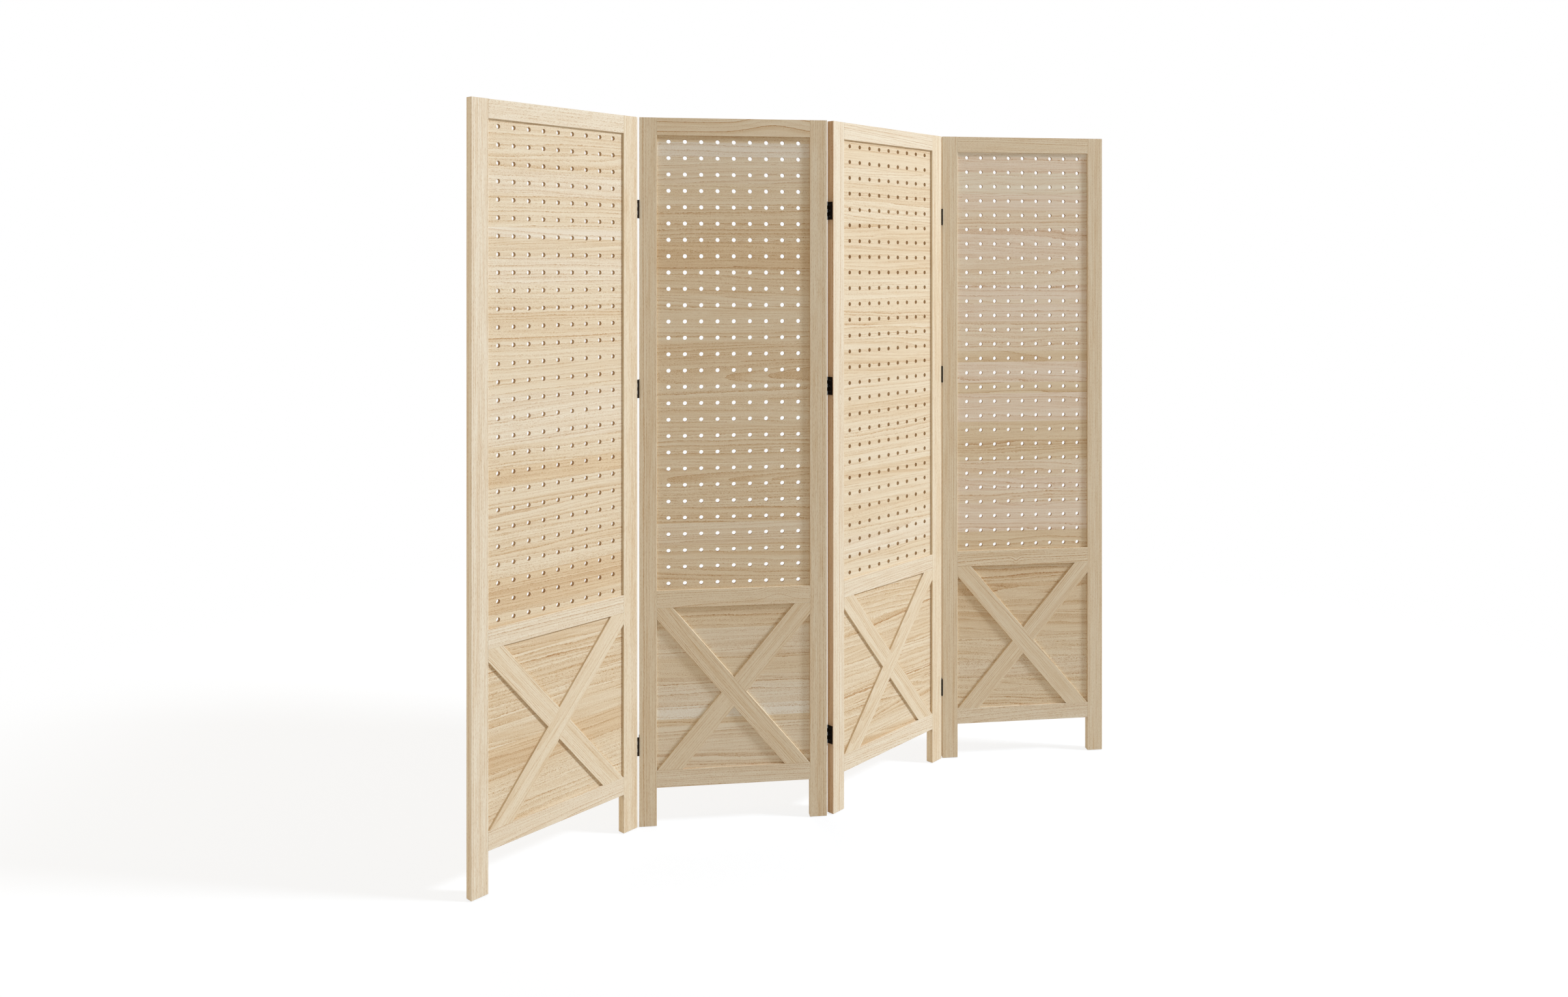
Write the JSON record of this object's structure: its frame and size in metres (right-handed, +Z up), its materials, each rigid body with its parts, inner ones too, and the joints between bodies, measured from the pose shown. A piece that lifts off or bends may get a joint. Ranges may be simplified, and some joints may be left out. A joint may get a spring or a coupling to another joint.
{
  "type": "folding room divider",
  "caption": "Folding wooden screen of hinged panels, each with a peg board above and a plain board with a flush X brace below.",
  "frame": {"origin": "on the floor, under the middle of the bounding box of the screen as it stands in the picture", "axes": "+X to the right along the second and fourth panels as seen from the front, -Y towards the front, +Z up"},
  "size_m": [1.6438, 0.6126, 1.7],
  "materials": {
    "hinge_leaf": "satin black paint",
    "hinge_pin": "satin black paint",
    "panel_1_bottom_rail_wood": "unfinished pale wood, sanded",
    "foot_glide": "matt off-white plastic",
    "panel_1_half_braces_wood": "unfinished pale wood, sanded",
    "hinge_screw": "blackened steel",
    "panel_1_left_stile_wood": "unfinished pale wood, sanded",
    "panel_1_long_brace_back_wood": "unfinished pale wood, sanded",
    "panel_1_long_brace_front_wood": "unfinished pale wood, sanded",
    "panel_1_lower_board_wood": "unfinished pale wood, sanded",
    "panel_1_mid_rail_wood": "unfinished pale wood, sanded",
    "panel_1_pegboard_wood": "unfinished pale wood, sanded",
    "panel_1_right_stile_wood": "unfinished pale wood, sanded",
    "panel_1_top_rail_wood": "unfinished pale wood, sanded",
    "panel_2_bottom_rail_wood": "unfinished pale wood, sanded",
    "panel_2_half_braces_wood": "unfinished pale wood, sanded",
    "panel_2_left_stile_wood": "unfinished pale wood, sanded",
    "panel_2_long_brace_back_wood": "unfinished pale wood, sanded",
    "panel_2_long_brace_front_wood": "unfinished pale wood, sanded",
    "panel_2_lower_board_wood": "unfinished pale wood, sanded",
    "panel_2_mid_rail_wood": "unfinished pale wood, sanded",
    "panel_2_pegboard_wood": "unfinished pale wood, sanded",
    "panel_2_right_stile_wood": "unfinished pale wood, sanded",
    "panel_2_top_rail_wood": "unfinished pale wood, sanded",
    "panel_3_bottom_rail_wood": "unfinished pale wood, sanded",
    "panel_3_half_braces_wood": "unfinished pale wood, sanded",
    "panel_3_left_stile_wood": "unfinished pale wood, sanded",
    "panel_3_long_brace_back_wood": "unfinished pale wood, sanded",
    "panel_3_long_brace_front_wood": "unfinished pale wood, sanded",
    "panel_3_lower_board_wood": "unfinished pale wood, sanded",
    "panel_3_mid_rail_wood": "unfinished pale wood, sanded",
    "panel_3_pegboard_wood": "unfinished pale wood, sanded",
    "panel_3_right_stile_wood": "unfinished pale wood, sanded",
    "panel_3_top_rail_wood": "unfinished pale wood, sanded",
    "panel_4_bottom_rail_wood": "unfinished pale wood, sanded",
    "panel_4_half_braces_wood": "unfinished pale wood, sanded",
    "panel_4_left_stile_wood": "unfinished pale wood, sanded",
    "panel_4_long_brace_back_wood": "unfinished pale wood, sanded",
    "panel_4_long_brace_front_wood": "unfinished pale wood, sanded",
    "panel_4_lower_board_wood": "unfinished pale wood, sanded",
    "panel_4_mid_rail_wood": "unfinished pale wood, sanded",
    "panel_4_pegboard_wood": "unfinished pale wood, sanded",
    "panel_4_right_stile_wood": "unfinished pale wood, sanded",
    "panel_4_top_rail_wood": "unfinished pale wood, sanded"
  },
  "bodies": {
    "panel_1": {"hinges_1_2_left_leaves": "hinge_leaf", "hinges_1_2_pins": "hinge_pin", "panel_1_bottom_rail": "panel_1_bottom_rail_wood", "panel_1_foot_glides": "foot_glide", "panel_1_half_braces": "panel_1_half_braces_wood", "panel_1_hinge_screws": "hinge_screw", "panel_1_left_stile": "panel_1_left_stile_wood", "panel_1_long_brace_back": "panel_1_long_brace_back_wood", "panel_1_long_brace_front": "panel_1_long_brace_front_wood", "panel_1_lower_board": "panel_1_lower_board_wood", "panel_1_mid_rail": "panel_1_mid_rail_wood", "panel_1_pegboard": "panel_1_pegboard_wood", "panel_1_right_stile": "panel_1_right_stile_wood", "panel_1_top_rail": "panel_1_top_rail_wood"},
    "panel_2": {"hinges_1_2_right_leaves": "hinge_leaf", "hinges_2_3_left_leaves": "hinge_leaf", "hinges_2_3_pins": "hinge_pin", "panel_2_bottom_rail": "panel_2_bottom_rail_wood", "panel_2_foot_glides": "foot_glide", "panel_2_half_braces": "panel_2_half_braces_wood", "panel_2_hinge_screws": "hinge_screw", "panel_2_left_stile": "panel_2_left_stile_wood", "panel_2_long_brace_back": "panel_2_long_brace_back_wood", "panel_2_long_brace_front": "panel_2_long_brace_front_wood", "panel_2_lower_board": "panel_2_lower_board_wood", "panel_2_mid_rail": "panel_2_mid_rail_wood", "panel_2_pegboard": "panel_2_pegboard_wood", "panel_2_right_stile": "panel_2_right_stile_wood", "panel_2_top_rail": "panel_2_top_rail_wood"},
    "panel_3": {"hinges_2_3_right_leaves": "hinge_leaf", "hinges_3_4_left_leaves": "hinge_leaf", "hinges_3_4_pins": "hinge_pin", "panel_3_bottom_rail": "panel_3_bottom_rail_wood", "panel_3_foot_glides": "foot_glide", "panel_3_half_braces": "panel_3_half_braces_wood", "panel_3_hinge_screws": "hinge_screw", "panel_3_left_stile": "panel_3_left_stile_wood", "panel_3_long_brace_back": "panel_3_long_brace_back_wood", "panel_3_long_brace_front": "panel_3_long_brace_front_wood", "panel_3_lower_board": "panel_3_lower_board_wood", "panel_3_mid_rail": "panel_3_mid_rail_wood", "panel_3_pegboard": "panel_3_pegboard_wood", "panel_3_right_stile": "panel_3_right_stile_wood", "panel_3_top_rail": "panel_3_top_rail_wood"},
    "panel_4": {"hinges_3_4_right_leaves": "hinge_leaf", "panel_4_bottom_rail": "panel_4_bottom_rail_wood", "panel_4_foot_glides": "foot_glide", "panel_4_half_braces": "panel_4_half_braces_wood", "panel_4_hinge_screws": "hinge_screw", "panel_4_left_stile": "panel_4_left_stile_wood", "panel_4_long_brace_back": "panel_4_long_brace_back_wood", "panel_4_long_brace_front": "panel_4_long_brace_front_wood", "panel_4_lower_board": "panel_4_lower_board_wood", "panel_4_mid_rail": "panel_4_mid_rail_wood", "panel_4_pegboard": "panel_4_pegboard_wood", "panel_4_right_stile": "panel_4_right_stile_wood", "panel_4_top_rail": "panel_4_top_rail_wood"}
  },
  "joints": [
    {"name": "fold_1_2", "type": "hinge", "parent": "panel_2", "child": "panel_1", "pos_m": [-0.45925, -0.01364, 0.85], "axis": [0, 0, 1], "range_deg": [-40, 140]},
    {"name": "fold_2_3", "type": "hinge", "parent": "panel_2", "child": "panel_3", "pos_m": [-0.00025, 0.00736, 0.85], "axis": [0, 0, 1], "range_deg": [-40, 140]},
    {"name": "fold_3_4", "type": "hinge", "parent": "panel_3", "child": "panel_4", "pos_m": [0.36486, 0.28631, 0.85], "axis": [0, 0, -1], "range_deg": [-40, 140]}
  ]
}
